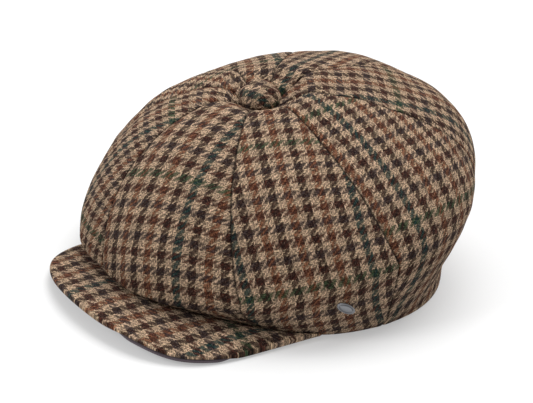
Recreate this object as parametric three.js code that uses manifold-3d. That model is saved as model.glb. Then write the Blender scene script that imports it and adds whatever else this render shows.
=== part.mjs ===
// Eight-panel baker boy cap, unworn and resting on its hem, in millimetres.
// +Z is up, the peak points to -Y and the wearer's left is +X.
//
// Crown: eight shaped gores run from the hem to a covered button. Their common form is a smooth
// surface through three rings (hem, waist, equator) and an apex, joined by Bezier meridians.
// Each gore is that surface between two seams, swollen a little between them, with a cloth wall.
// Peak: a stiff curved plate in two layers, a cloth cover above and a smooth lining below.
// A plain oval pin sits low on the wearer's left, with its post through the cloth into a clutch.

import * as THREE from 'three';
import * as BufferGeometryUtils from 'three/addons/utils/BufferGeometryUtils.js';
import Module from 'manifold-3d';

const wasm = await Module();
wasm.setup();

// ---- driving dimensions -------------------------------------------------------------------

const CLOTH = 2.2;               // wall of tweed and its backing
const SEAM_GAP = 0.3;            // clearance left between neighbouring pieces
const SWELL = 1.8;               // how far a gore stands proud half-way between its seams
const HEM_LIFT = 4.5;            // the hem leaves the table at the front, over the peak

// Rings of the crown: centre in plan, then radius and height at the front, the wearer's left,
// the back and the right. The soft crown has slumped to the right and a little forward.
const RINGS = {
  hem: {
    cx: 0, cy: 0,
    radius: { front: 95, left: 95, back: 95, right: 95 },
    height: { front: 0, left: 0, back: 0, right: 0 },
  },
  waist: {
    cx: 0, cy: 0,
    radius: { front: 99, left: 99.4, back: 94.6, right: 99.4 },
    height: { front: 10, left: 5.6, back: 29, right: 10 },
  },
  equator: {
    cx: -20.5, cy: -8.5,
    radius: { front: 119, left: 130, back: 131.6, right: 125 },
    height: { front: 18, left: 45.3, back: 75.5, right: 47.3 },
  },
};
const APEX = new THREE.Vector3(-20.3, -18, 122);

// Where gores 1 to 8 begin, in degrees from the front towards +X. The slumped cloth has widened
// the gore over the peak on the wearer's left and narrowed those on the right.
const SEAMS = [-8, 45, 90, 136.5, 182, 227, 271, 312];
const GORES = SEAMS.length;

// Further turn of all seams at the hem, the equator and the eye, in degrees.
const TWIST = { hem: 1.7, equator: 4.8, eye: -6.5 };

// Handles of the meridians: rise above the equator as a share of the height left, reach back
// from the apex as a share of the way out, and lift of that last handle in millimetres.
const HANDLES = {
  rise:  { front: 0.33, left: 0.24, back: 0.99, right: 0.24 },
  reach: { front: 0.74, left: 0.68, back: 0.41, right: 0.68 },
  lift:  { front: -8.3, left: 4.8,  back: 12.1, right: 4.8 },
};

// Handles between waist and equator, as shares of the way out and up. At the back the cloth
// climbs straight up the band before it swings out.
const UNDERCUT = {
  out: { front: 0.45, left: 0.3, back: -0.1, right: 0.3 },
  up:  { front: 0.3,  left: 0.3, back: 0.3,  right: 0.3 },
  arrive: 0.36,
};

// The button sits in a puckered dimple with a flat floor.
const DIMPLE = { depth: 6.5, floor: 14.5, rim: 36 };
const BUTTON = { radius: 13.5, height: 7.2, stem: 3, stemLength: 5 };
const EYE = BUTTON.stem + 2 * SEAM_GAP;                  // radius left open where the gores meet

const PEAK = {
  spread: THREE.MathUtils.degToRad(68.7),   // half of the arc of hem that carries the peak
  reach: 64,                                // from the hem to the middle of the outer edge
  squareness: 0.48,                         // under 0.5 gives fuller corners than an ellipse
  flare: 9.2,                               // how far the corners stand out sideways
  cover: 2.0,
  lining: 1.8,
  edge: { front: 7, side: 0 },              // height of the lining's outer edge
  crown: 3,                                 // how far the plate bows up between hem and edge
};

const PIN = {
  gore: 2,
  angle: THREE.MathUtils.degToRad(74),
  level: 0.66,                  // place on the meridian, from the waist (0) to the equator (1)
  length: 15, width: 6.5, thickness: 1.8,
  tilt: THREE.MathUtils.degToRad(35),
  post: 0.7, postLength: 6,
  clutch: 4, clutchHeight: 2.4,
};

const ROWS = { band: 2, undercut: 6, dome: 14 };          // steps up a gore
const COLUMNS = 6;                                        // steps across a gore

// ---- materials ----------------------------------------------------------------------------

const cloth = (color) => new THREE.MeshStandardMaterial({ color, roughness: 0.95, metalness: 0 });
const MATERIALS = {
  tweed: cloth(0x7d6148),
  peakTweed: cloth(0x816349),
  lining: cloth(0x4b4247),
  metal: new THREE.MeshStandardMaterial({ color: 0xb9bcc0, roughness: 0.28, metalness: 1 }),
};

// ---- crown surface ------------------------------------------------------------------------

/** Value at an angle round the cap, 0 at the front, from its values on the four sides. */
function around({ front, left, back, right }, angle) {
  const c = Math.cos(angle);
  const side = Math.sin(angle) > 0 ? left : right;
  return (front + back) / 2 * c * c + side * (1 - c * c) + (front - back) / 2 * c;
}

/** Height of the hem: flat on the table, rising smoothly over the peak. */
function hemHeight(angle) {
  const share = Math.max(0, (Math.cos(angle) - 0.3) / 0.7);
  return HEM_LIFT * share ** 1.5;
}

/** Point of a ring at an angle from the front towards +X. */
function ringPoint(name, angle) {
  const { cx, cy, radius, height } = RINGS[name];
  const r = around(radius, angle);
  return new THREE.Vector3(
    cx + r * Math.sin(angle),
    cy - r * Math.cos(angle),
    name === 'hem' ? hemHeight(angle) : around(height, angle),
  );
}

/** The two curves of a meridian: waist to equator, and equator to apex. */
function meridian(angle) {
  const waist = ringPoint('waist', angle);
  const equator = ringPoint('equator', angle);
  const rise = equator.z - waist.z;
  const out = equator.clone().sub(waist).setZ(0);
  const leave = waist.clone().addScaledVector(out, around(UNDERCUT.out, angle));
  leave.z += around(UNDERCUT.up, angle) * rise;
  const arrive = equator.clone();
  arrive.z -= UNDERCUT.arrive * rise;
  const climb = equator.clone();
  climb.z += around(HANDLES.rise, angle) * (APEX.z - equator.z);
  const summit = APEX.clone();
  summit.addScaledVector(equator.clone().sub(APEX).setZ(0), around(HANDLES.reach, angle));
  summit.z += around(HANDLES.lift, angle);
  return {
    undercut: new THREE.CubicBezierCurve3(waist, leave, arrive, equator),
    dome: new THREE.CubicBezierCurve3(equator, climb, summit, APEX),
  };
}

/** Distance in plan from the apex. */
const planRadius = (p) => Math.hypot(p.x - APEX.x, p.y - APEX.y);

/** Lets the top of the crown down into the button's dimple. */
function dimpled(p) {
  const s = THREE.MathUtils.smoothstep(planRadius(p), DIMPLE.floor, DIMPLE.rim);
  p.z = THREE.MathUtils.lerp(APEX.z - DIMPLE.depth, p.z, s);
  return p;
}

/** Where on the dome curve (0 to 1) the eye under the button begins. */
function eyeStart(dome) {
  let low = 0;
  let high = 1;
  for (let step = 0; step < 30; step += 1) {
    const middle = (low + high) / 2;
    if (planRadius(dome.getPoint(middle)) > EYE) low = middle;
    else high = middle;
  }
  return low;
}

/** Turn of the seams at a level, in radians. */
function twist(level) {
  const { hem, equator, eye } = TWIST;
  const turn = level > 1
    ? THREE.MathUtils.lerp(equator, eye, level - 1)
    : THREE.MathUtils.lerp(hem, equator, Math.max(level, 0));
  return THREE.MathUtils.degToRad(turn);
}

/**
 * Point of the smooth crown. The level runs from -1 at the hem through 0 at the waist and 1 at
 * the equator to 2 at the eye. The seams turn with the level, because the soft crown is twisted.
 */
function crownPoint(angle, level) {
  const turned = angle + twist(level);
  if (level < 0) return ringPoint('waist', turned).lerp(ringPoint('hem', turned), -level);
  const { undercut, dome } = meridian(turned);
  if (level <= 1) return undercut.getPoint(level);
  return dimpled(dome.getPoint((level - 1) * eyeStart(dome)));
}

/** Height of a gore's swelling over the smooth crown: u runs from seam (-1) to seam (1). */
function swelling(smooth, level, u) {
  const lengthwise = Math.sin(Math.PI * THREE.MathUtils.clamp(level / 2, 0, 1)) ** 0.7;
  const clear = THREE.MathUtils.smoothstep(planRadius(smooth), DIMPLE.floor, DIMPLE.rim);
  return SWELL * lengthwise * clear * (1 - u * u);
}

/** Outward direction of the smooth crown, from short steps along and across it. */
function crownNormal(angle, level) {
  const step = 1e-3;
  const low = Math.max(level - step, -1);
  const high = Math.min(level + step, 2);
  const across = crownPoint(angle + step, level).sub(crownPoint(angle - step, level));
  const along = crownPoint(angle, high).sub(crownPoint(angle, low));
  return across.cross(along).normalize();
}

/** Levels of the rows of a gore, hem to eye, closer together towards the eye. */
function gradeLevels() {
  const levels = [];
  for (let i = 0; i < ROWS.band; i += 1) levels.push(-1 + i / ROWS.band);
  for (let i = 0; i < ROWS.undercut; i += 1) levels.push(i / ROWS.undercut);
  for (let i = 0; i <= ROWS.dome; i += 1) levels.push(2 - (1 - i / ROWS.dome) ** 1.5);
  return levels;
}

// ---- solids -------------------------------------------------------------------------------

/**
 * Closed wall between two grids of points of the same size, each an array of rows that run
 * from left to right as seen from outside, lowest row first.
 */
function wallGeometry(outer, inner) {
  const rows = outer.length;
  const columns = outer[0].length;
  const positions = [];
  const index = [];
  for (const grid of [outer, inner]) {
    for (const row of grid) for (const p of row) positions.push(p.x, p.y, p.z);
  }
  const at = (side, i, j) => (side * rows + i) * columns + j;
  const quad = (a, b, c, d) => index.push(a, b, c, a, c, d);
  for (let i = 0; i + 1 < rows; i += 1) {
    for (let j = 0; j + 1 < columns; j += 1) {
      quad(at(0, i, j), at(0, i, j + 1), at(0, i + 1, j + 1), at(0, i + 1, j));
      quad(at(1, i, j), at(1, i + 1, j), at(1, i + 1, j + 1), at(1, i, j + 1));
    }
    const last = columns - 1;
    quad(at(0, i, last), at(1, i, last), at(1, i + 1, last), at(0, i + 1, last));
    quad(at(1, i, 0), at(0, i, 0), at(0, i + 1, 0), at(1, i + 1, 0));
  }
  for (let j = 0; j + 1 < columns; j += 1) {
    quad(at(1, 0, j), at(1, 0, j + 1), at(0, 0, j + 1), at(0, 0, j));
    const top = rows - 1;
    quad(at(0, top, j), at(0, top, j + 1), at(1, top, j + 1), at(1, top, j));
  }
  const geometry = new THREE.BufferGeometry();
  geometry.setAttribute('position', new THREE.Float32BufferAttribute(positions, 3));
  geometry.setIndex(index);
  return geometry;
}

/** Middle and half width of a gore, in radians round the cap. */
function goreSpan(number) {
  const start = THREE.MathUtils.degToRad(SEAMS[number - 1]);
  const end = THREE.MathUtils.degToRad(number < GORES ? SEAMS[number] : SEAMS[0] + 360);
  return { middle: (start + end) / 2, halfWidth: (end - start) / 2 };
}

/** A gore of the crown: the swollen cloth wall between two seams. */
function goreGeometry(number) {
  const { middle, halfWidth } = goreSpan(number);
  const outer = [];
  const inner = [];
  for (const level of gradeLevels()) {
    const radius = Math.max(planRadius(crownPoint(middle, level)), EYE);
    const half = halfWidth - SEAM_GAP / (2 * radius);
    const outerRow = [];
    const innerRow = [];
    for (let j = 0; j <= COLUMNS; j += 1) {
      const u = 2 * j / COLUMNS - 1;
      const angle = middle + u * half;
      const normal = crownNormal(angle, level);
      const skin = crownPoint(angle, level);
      skin.addScaledVector(normal, swelling(skin, level, u));
      const back = skin.clone().addScaledVector(normal, -CLOTH);
      if (level === -1) back.z = skin.z;
      outerRow.push(skin);
      innerRow.push(back);
    }
    outer.push(outerRow);
    inner.push(innerRow);
  }
  return wallGeometry(outer, inner);
}

/** The covered button: a domed cap on a short stem that passes through the eye. */
function buttonGeometry() {
  const { radius: r, height: h, stem, stemLength } = BUTTON;
  const profile = [
    [0, -stemLength], [stem, -stemLength], [stem, 0], [r - 1.2, 0], [r - 0.2, 1], [r, 2.2],
    [r - 0.7, 3.9], [r - 3, 5.6], [r - 7, 6.8], [0, h],
  ].map(([x, y]) => new THREE.Vector2(x, y));
  const geometry = new THREE.LatheGeometry(profile, 32);
  geometry.rotateX(Math.PI / 2);
  return geometry;
}

/** Outer edge of the peak at w from -1 to 1, with the height of the lining's underside. */
function peakEdge(w) {
  const t = Math.sign(w) * (2 * Math.abs(w) - w * w) * Math.PI / 2;
  const root = ringPoint('hem', PEAK.spread);
  const tipY = ringPoint('hem', 0).y - PEAK.reach;
  return new THREE.Vector3(
    root.x * Math.sin(t) + PEAK.flare * Math.sin(2 * t),
    THREE.MathUtils.lerp(root.y, tipY, Math.abs(Math.cos(t)) ** PEAK.squareness),
    THREE.MathUtils.lerp(PEAK.edge.front, PEAK.edge.side, Math.sin(t) ** 2),
  );
}

/**
 * Point of the peak at a height above its underside: w runs across it, s from the hem (0) to
 * the outer edge (1). The root keeps its clearance to the band, which leans out a little, and
 * the edge leans with it towards the corners.
 */
function peakPoint(w, s, height) {
  const angle = w * PEAK.spread;
  const hem = ringPoint('hem', angle);
  const waist = ringPoint('waist', angle);
  const root = hem.clone().lerp(waist, height / (waist.z - hem.z));
  const gap = new THREE.Vector3(root.x, root.y, 0).setLength(SEAM_GAP);
  const edge = peakEdge(w).addScaledVector(root.clone().sub(hem).setZ(0), w ** 4);
  edge.z += height;
  const p = root.add(gap).lerp(edge, s);
  p.z += PEAK.crown * 4 * s * (1 - s) * (1 - w ** 4);
  return p;
}

/** A layer of the peak between two heights above its underside. */
function peakLayer(bottom, top) {
  const across = 36;
  const outwards = 6;
  const end = 0.96;
  const upper = [];
  const lower = [];
  for (let i = 0; i <= outwards; i += 1) {
    const upperRow = [];
    const lowerRow = [];
    for (let j = 0; j <= across; j += 1) {
      const w = end * (1 - 2 * j / across);
      upperRow.push(peakPoint(w, i / outwards, top));
      lowerRow.push(peakPoint(w, i / outwards, bottom));
    }
    upper.push(upperRow);
    lower.push(lowerRow);
  }
  return wallGeometry(upper, lower);
}

// ---- pin ----------------------------------------------------------------------------------

/** Frame of the pin: X along its length, Z out of the cloth, origin on the cloth. */
function pinFrame() {
  const { middle, halfWidth } = goreSpan(PIN.gore);
  const u = (PIN.angle - middle) / halfWidth;
  const normal = crownNormal(PIN.angle, PIN.level);
  const place = crownPoint(PIN.angle, PIN.level);
  place.addScaledVector(normal, swelling(place, PIN.level, u));
  const level = new THREE.Vector3(0, 0, 1).cross(normal).normalize();
  const length = level.applyAxisAngle(normal, -PIN.tilt);
  const width = normal.clone().cross(length);
  return new THREE.Matrix4().makeBasis(length, width, normal).setPosition(place);
}

/** The pin: a plain oval with a rounded face, and its post. */
function pinGeometry() {
  const { length, width, thickness, post, postLength } = PIN;
  const seat = SEAM_GAP + 0.5;
  const sides = 20;
  const profile = [
    [0, -postLength], [post, -postLength], [post, seat], [0.82, seat], [0.96, seat + 0.3],
    [1, seat + 0.7], [0.9, seat + 1.2], [0.6, seat + thickness - 0.2], [0, seat + thickness],
  ].map(([x, y]) => new THREE.Vector2(x, y));
  const geometry = new THREE.LatheGeometry(profile, sides);
  geometry.rotateX(Math.PI / 2);
  const position = geometry.attributes.position;
  for (let i = 0; i < position.count; i += 1) {
    if (position.getZ(i) > seat - 0.01 && Math.hypot(position.getX(i), position.getY(i)) > post + 0.01) {
      position.setX(i, position.getX(i) * length / 2);
      position.setY(i, position.getY(i) * width / 2);
    }
  }
  return geometry;
}

/** The clutch that holds the post inside the crown: a short ring. */
function clutchGeometry() {
  const bore = PIN.post + SEAM_GAP;
  const top = -CLOTH - 3 * SEAM_GAP;
  const bottom = top - PIN.clutchHeight;
  const profile = [
    [bore, bottom], [PIN.clutch - 0.5, bottom], [PIN.clutch, bottom + 0.5],
    [PIN.clutch, top], [bore, top], [bore, bottom],
  ].map(([x, y]) => new THREE.Vector2(x, y));
  const geometry = new THREE.LatheGeometry(profile, 24);
  geometry.rotateX(Math.PI / 2);
  return geometry;
}

/** A closed geometry as a solid for boolean cuts. */
function toSolid(geometry) {
  const bare = geometry.clone();
  bare.deleteAttribute('normal');
  bare.deleteAttribute('uv');
  const merged = BufferGeometryUtils.mergeVertices(bare, 1e-4);
  return new wasm.Manifold(new wasm.Mesh({
    numProp: 3,
    vertProperties: new Float32Array(merged.attributes.position.array),
    triVerts: new Uint32Array(merged.index.array),
  }));
}

/** A solid back as a geometry. */
function toGeometry(solid) {
  const mesh = solid.getMesh();
  const geometry = new THREE.BufferGeometry();
  geometry.setAttribute('position', new THREE.BufferAttribute(mesh.vertProperties, 3));
  geometry.setIndex(new THREE.BufferAttribute(mesh.triVerts, 1));
  return geometry;
}

/** A gore with the hole that the pin's post passes through. */
function pierced(geometry, frame) {
  const drill = new THREE.CylinderGeometry(PIN.post + SEAM_GAP, PIN.post + SEAM_GAP, 12, 16);
  drill.rotateX(Math.PI / 2);
  drill.applyMatrix4(frame);
  return toGeometry(toSolid(geometry).subtract(toSolid(drill)));
}

// ---- assembly -----------------------------------------------------------------------------

const cap = new THREE.Group();

function addPiece(name, geometry, material, matrix) {
  const mesh = new THREE.Mesh(geometry, material);
  mesh.name = name;
  if (matrix) matrix.decompose(mesh.position, mesh.quaternion, mesh.scale);
  cap.add(mesh);
}

const pinPlace = pinFrame();
for (let number = 1; number <= GORES; number += 1) {
  const gore = goreGeometry(number);
  const geometry = number === PIN.gore ? pierced(gore, pinPlace) : gore;
  addPiece(`crown_gore_${number}`, geometry, MATERIALS.tweed);
}
const buttonSeat = new THREE.Matrix4().makeTranslation(
  APEX.x, APEX.y, APEX.z - DIMPLE.depth + SEAM_GAP);
addPiece('crown_button', buttonGeometry(), MATERIALS.tweed, buttonSeat);
addPiece('peak_lining', peakLayer(0, PEAK.lining), MATERIALS.lining);
addPiece('peak_cover', peakLayer(PEAK.lining + SEAM_GAP, PEAK.lining + SEAM_GAP + PEAK.cover),
  MATERIALS.peakTweed);
addPiece('pin', pinGeometry(), MATERIALS.metal, pinPlace);
addPiece('pin_clutch', clutchGeometry(), MATERIALS.metal, pinPlace);

// The part's origin is the middle of its footprint, on the table.
const bounds = new THREE.Box3().setFromObject(cap, true);
cap.position.set(
  -(bounds.min.x + bounds.max.x) / 2, -(bounds.min.y + bounds.max.y) / 2, -bounds.min.z);

export default cap;
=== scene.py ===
"""Looks of a tweed baker boy cap at rest on a plain pale floor.

Forms are worked out in millimetres in the cap's own frame, whose origin is the middle of the
hem ring on the floor. +Z is up, the peak points to -Y and the wearer's left is +X. The cap's
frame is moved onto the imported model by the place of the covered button.
"""
import logging
from dataclasses import dataclass
from enum import Enum
from typing import Callable, Union

import bpy
import numpy as np
from mathutils import Matrix, Vector


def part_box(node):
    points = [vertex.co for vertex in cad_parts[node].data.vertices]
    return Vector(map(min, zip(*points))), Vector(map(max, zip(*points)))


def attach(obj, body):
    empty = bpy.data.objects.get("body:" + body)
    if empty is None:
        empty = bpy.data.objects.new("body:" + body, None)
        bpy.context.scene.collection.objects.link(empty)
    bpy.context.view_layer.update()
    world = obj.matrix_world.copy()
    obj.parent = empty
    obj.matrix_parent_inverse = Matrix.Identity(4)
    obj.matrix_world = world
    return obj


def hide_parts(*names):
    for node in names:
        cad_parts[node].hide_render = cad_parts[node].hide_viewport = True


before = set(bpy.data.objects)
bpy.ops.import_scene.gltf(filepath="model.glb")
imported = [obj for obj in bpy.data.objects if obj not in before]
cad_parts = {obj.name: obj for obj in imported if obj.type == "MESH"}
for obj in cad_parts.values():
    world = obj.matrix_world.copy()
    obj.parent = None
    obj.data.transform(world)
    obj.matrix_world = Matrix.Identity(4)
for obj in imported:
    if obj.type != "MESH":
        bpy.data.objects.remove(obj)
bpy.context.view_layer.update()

log = logging.getLogger("baker_boy_cap")

MM = 0.001
UP = np.array([0.0, 0.0, 1.0])
IN_PLAN = np.array([1.0, 1.0, 0.0])
FAR_FROM_SEAM = 9.0
WARP_DRAW, WEFT_DRAW = 3, 7  # rows of chance that the threads of warp and weft draw from
WARP_APART = 40  # how far apart the fibres of warp and weft are read from their noise

Pair = tuple[float, float]
Triple = tuple[float, float, float]
Colour = tuple[float, float, float, float]


# ---- numbers and curves ----

def smoothstep(x: np.ndarray, low: float, high: float) -> np.ndarray:
    """0 below low, 1 above high and 3t2 - 2t3 between them, where t is x's share of the way."""
    t = np.clip((x - low) / (high - low), 0.0, 1.0)
    return t * t * (3.0 - 2.0 * t)


def bell(x: np.ndarray, width: float) -> np.ndarray:
    """Bell curve exp(-(x / width)^2)."""
    return np.exp(-((x / width) ** 2))


def unit(v: np.ndarray) -> np.ndarray:
    """Vectors of length 1 in the directions of v."""
    return v / np.maximum(np.linalg.norm(v, axis=-1, keepdims=True), 1e-9)


def bezier(a: np.ndarray, b: np.ndarray, c: np.ndarray, d: np.ndarray, t: np.ndarray) -> np.ndarray:
    """Cubic Bezier curve: s3 a + 3 s2 t b + 3 s t2 c + t3 d, where s = 1 - t.

    Args:
        a: Start points.
        b: First handles.
        c: Second handles.
        d: End points.
        t: Share of the way, one for each point.

    Returns:
        Points on the curves, in the same array shape as a.
    """
    t = t[..., None]
    s = 1.0 - t
    return s**3 * a + 3 * s * s * t * b + 3 * s * t * t * c + t**3 * d


def travelled(points: np.ndarray, axis: int) -> np.ndarray:
    """Length of the way from the first point to each point, along one axis of a grid.

    Args:
        points: Points, with their coordinates on the last axis.
        axis: The axis to go along.

    Returns:
        One length for each point.
    """
    way = np.cumsum(np.linalg.norm(np.diff(points, axis=axis), axis=-1), axis=axis)
    return np.concatenate([np.zeros_like(np.take(way, [0], axis=axis)), way], axis=axis)


@dataclass(frozen=True)
class Waves:
    """Smooth unevenness: sine waves in seeded random directions, lengths in millimetres."""

    seed: int
    shortest: float
    longest: float
    count: int = 12

    def at(self, points: np.ndarray) -> np.ndarray:
        """Sum of sin(k . p + phase) over the waves, scaled to a spread of about 1.

        Args:
            points: Points in millimetres, the last axis being x, y, z.

        Returns:
            One value for each point.
        """
        rng = np.random.default_rng(self.seed)
        directions = unit(rng.normal(size=(self.count, 3)))
        lengths = rng.uniform(self.shortest, self.longest, self.count)
        phases = rng.uniform(0, 2 * np.pi, self.count)
        total = np.zeros(points.shape[:-1])
        for direction, length, phase in zip(directions, lengths, phases):
            total += np.sin(points @ (direction * 2 * np.pi / length) + phase)
        return total * np.sqrt(2 / self.count)


# ---- the crown's form ----

@dataclass(frozen=True)
class Around:
    """A value that changes round the cap, from its values on the four sides."""

    front: float
    left: float
    back: float
    right: float

    def at(self, angle: np.ndarray) -> np.ndarray:
        """(f + b)/2 c2 + side (1 - c2) + (f - b)/2 c, where c is the cosine of the angle.

        Args:
            angle: Angles from the front towards the wearer's left, in radians.

        Returns:
            One value for each angle.
        """
        c = np.cos(angle)
        side = np.where(np.sin(angle) > 0, self.left, self.right)
        mean = (self.front + self.back) / 2
        return mean * c * c + side * (1 - c * c) + (self.front - self.back) / 2 * c


@dataclass(frozen=True)
class Ring:
    """A ring of the crown: its centre in plan, and its radius and height round the cap."""

    centre: Pair
    radius: Around
    height: Around


@dataclass(frozen=True)
class CrownForm:
    """The smooth crown: three rings and an apex joined by Bezier meridians, in millimetres.

    The level runs from -1 at the hem through 0 at the waist and 1 at the equator to 2 at the
    eye under the button. The seams' angles are in degrees from the front, and they turn by
    the twist at the waist, the equator and the eye. Rise, reach and lift place the handles
    of the dome's curve; leave_out, leave_up and arrive place those of the undercut's.
    """

    seams: tuple[float, ...] = (-8, 45, 90, 136.5, 182, 227, 271, 312)
    twist: Triple = (1.7, 4.8, -6.5)
    hem: Ring = Ring((0, 0), Around(95, 95, 95, 95), Around(0, 0, 0, 0))
    waist: Ring = Ring((0, 0), Around(99, 99.4, 94.6, 99.4), Around(10, 5.6, 29, 10))
    equator: Ring = Ring((-20.5, -8.5), Around(119, 130, 131.6, 125), Around(18, 45.3, 75.5, 47.3))
    apex: Triple = (-20.3, -18.0, 122.0)
    rise: Around = Around(0.33, 0.24, 0.99, 0.24)
    reach: Around = Around(0.74, 0.68, 0.41, 0.68)
    lift: Around = Around(-8.3, 4.8, 12.1, 4.8)
    leave_out: Around = Around(0.45, 0.3, -0.1, 0.3)
    leave_up: float = 0.3
    arrive: float = 0.36
    hem_lift: float = 4.5
    hem_lift_end: float = 0.3
    dimple: float = 6.5
    floor: float = 14.5
    rim: float = 36.0
    eye: float = 3.6
    swell: float = 1.8
    cloth: float = 2.2
    slump_angle: float = 50.0

    def span(self, number: int) -> Pair:
        """Middle and half width of a gore, in radians round the cap.

        Args:
            number: The gore, from 1.

        Returns:
            The middle angle and half the angle between its seams.
        """
        start = self.seams[number - 1]
        end = self.seams[number] if number < len(self.seams) else self.seams[0] + 360
        return float(np.radians((start + end) / 2)), float(np.radians((end - start) / 2))

    def ring_point(self, ring: Ring, angle: np.ndarray) -> np.ndarray:
        """Centre + radius (sin a, -cos a), at the ring's height; the hem lifts at the front.

        Args:
            ring: One of the crown's rings.
            angle: Angles from the front, in radians.

        Returns:
            Points in millimetres.
        """
        radius = ring.radius.at(angle)
        x = ring.centre[0] + radius * np.sin(angle)
        y = ring.centre[1] - radius * np.cos(angle)
        z = ring.height.at(angle)
        if ring is self.hem:
            front = np.clip((np.cos(angle) - self.hem_lift_end) / (1 - self.hem_lift_end), 0, None)
            z = self.hem_lift * front**1.5
        return np.stack([x, y, z], axis=-1)

    def plan_radius(self, points: np.ndarray) -> np.ndarray:
        """Distance from the apex in plan."""
        return np.hypot(points[..., 0] - self.apex[0], points[..., 1] - self.apex[1])

    def swelling(self, share: np.ndarray, level: np.ndarray) -> np.ndarray:
        """Swelling of a gore between its seams: swell sin(pi level / 2)^0.7 (1 - share^2)."""
        lengthwise = np.sin(np.pi * np.clip(level / 2, 0, 1)) ** 0.7
        return self.swell * lengthwise * (1 - share * share)

    def meridian(self, angle: np.ndarray) -> tuple[tuple[np.ndarray, ...], tuple[np.ndarray, ...]]:
        """The handles of the two curves of a meridian: waist to equator, equator to apex.

        Args:
            angle: Angles from the front, in radians.

        Returns:
            Four arrays of points for the undercut and four for the dome.
        """
        waist = self.ring_point(self.waist, angle)
        equator = self.ring_point(self.equator, angle)
        apex = np.broadcast_to(np.array(self.apex), equator.shape)
        height = (equator - waist) * UP
        leave = waist + self.leave_out.at(angle)[..., None] * (equator - waist) * IN_PLAN
        leave = leave + self.leave_up * height
        arrive = equator - self.arrive * height
        climb = equator + self.rise.at(angle)[..., None] * (apex - equator) * UP
        summit = apex + self.reach.at(angle)[..., None] * (equator - apex) * IN_PLAN
        summit = summit + self.lift.at(angle)[..., None] * UP
        return (waist, leave, arrive, equator), (equator, climb, summit, apex)

    def smooth(self, angle: np.ndarray, level: np.ndarray) -> np.ndarray:
        """Point of the smooth crown at an angle and a level, with the seams' twist.

        Below the waist it is the straight line to the hem, above it the meridian's curves. The
        dome's curve ends at the eye, whose place is found by halving. The top sinks into the
        button's dimple by the smooth step of its distance from the apex.

        Args:
            angle: Angles from the front, in radians.
            level: Levels from -1 to 2.

        Returns:
            Points in millimetres.
        """
        angle, level = np.broadcast_arrays(np.asarray(angle, float), np.asarray(level, float))
        turned = angle + np.radians(np.interp(level, [0.0, 1.0, 2.0], self.twist))
        undercut, dome = self.meridian(turned)
        hem = self.ring_point(self.hem, turned)
        band = undercut[0] + (hem - undercut[0]) * np.clip(-level, 0, 1)[..., None]
        under = bezier(*undercut, np.clip(level, 0, 1))
        low = np.zeros(turned.shape)
        high = np.ones(turned.shape)
        for _ in range(24):
            middle = (low + high) / 2
            outside = self.plan_radius(bezier(*dome, middle)) > self.eye
            low = np.where(outside, middle, low)
            high = np.where(outside, high, middle)
        top = bezier(*dome, np.clip(level - 1, 0, 1) * low)
        share = smoothstep(self.plan_radius(top), self.floor, self.rim)
        sunk = self.apex[2] - self.dimple
        top[..., 2] = sunk + (top[..., 2] - sunk) * share
        level = level[..., None]
        return np.where(level < 0, band, np.where(level <= 1, under, top))

    def normal(self, angle: np.ndarray, level: np.ndarray) -> np.ndarray:
        """Outward direction: the cross product of short steps round and up the crown.

        Args:
            angle: Angles from the front, in radians.
            level: Levels from -1 to 2.

        Returns:
            Vectors of length 1.
        """
        step = 1e-3
        across = self.smooth(angle + step, level) - self.smooth(angle - step, level)
        low = np.maximum(level - step, -1)
        high = np.minimum(level + step, 2)
        return unit(np.cross(across, self.smooth(angle, high) - self.smooth(angle, low)))


# ---- meshes ----

def wall_faces(rows: int, columns: int) -> np.ndarray:
    """Quads of a closed wall between an outer and an inner grid of the same size.

    The rows of both grids go up and their columns go to the right, seen from outside.

    Args:
        rows: Rows of points in each grid.
        columns: Points in a row.

    Returns:
        The outer quads first, then the inner ones, then those of the four edges.
    """
    count = rows * columns
    at = np.arange(count).reshape(rows, columns)
    outer = np.stack([at[:-1, :-1], at[:-1, 1:], at[1:, 1:], at[1:, :-1]], axis=-1).reshape(-1, 4)
    loop = np.concatenate([at[0, :], at[1:, -1], at[-1, -2::-1], at[-2:0:-1, 0]])
    after = np.roll(loop, -1)
    edge = np.stack([loop, loop + count, after + count, after], axis=-1)
    return np.concatenate([outer, outer[:, ::-1] + count, edge])


def tube_faces(rings: int, around: int) -> np.ndarray:
    """Quads of a tube of rings, seen from outside, with its first and last rings closed flat.

    An end is closed by quads between the two halves of its ring, folded together.

    Args:
        rings: Rings of points, from the bottom up.
        around: Points in a ring, counted to the right; an even number.

    Returns:
        An array of four point numbers for each quad.
    """
    at = np.arange(rings * around).reshape(rings, around)
    after = np.roll(at, -1, axis=1)
    sides = np.stack([at[:-1], after[:-1], after[1:], at[1:]], axis=-1).reshape(-1, 4)
    half = around // 2
    left, right = at[:, :half], at[:, ::-1][:, :half]
    ends = np.stack([left[:, :-1], left[:, 1:], right[:, 1:], right[:, :-1]], axis=-1)
    return np.concatenate([sides, ends[0, :, ::-1], ends[-1]])


@dataclass(frozen=True)
class Placement:
    """Where the cap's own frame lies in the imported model, in millimetres."""

    offset: Triple

    @classmethod
    def on_button(cls, form: CrownForm) -> "Placement":
        """Places the cap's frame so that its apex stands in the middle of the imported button."""
        middle = (np.array(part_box("crown_button")).mean(axis=0) / MM - form.apex) * IN_PLAN
        return cls(tuple(middle.tolist()))

    def metres(self, points: np.ndarray) -> np.ndarray:
        """Points of the cap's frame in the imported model's metres."""
        return (points + np.array(self.offset)) * MM


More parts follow.
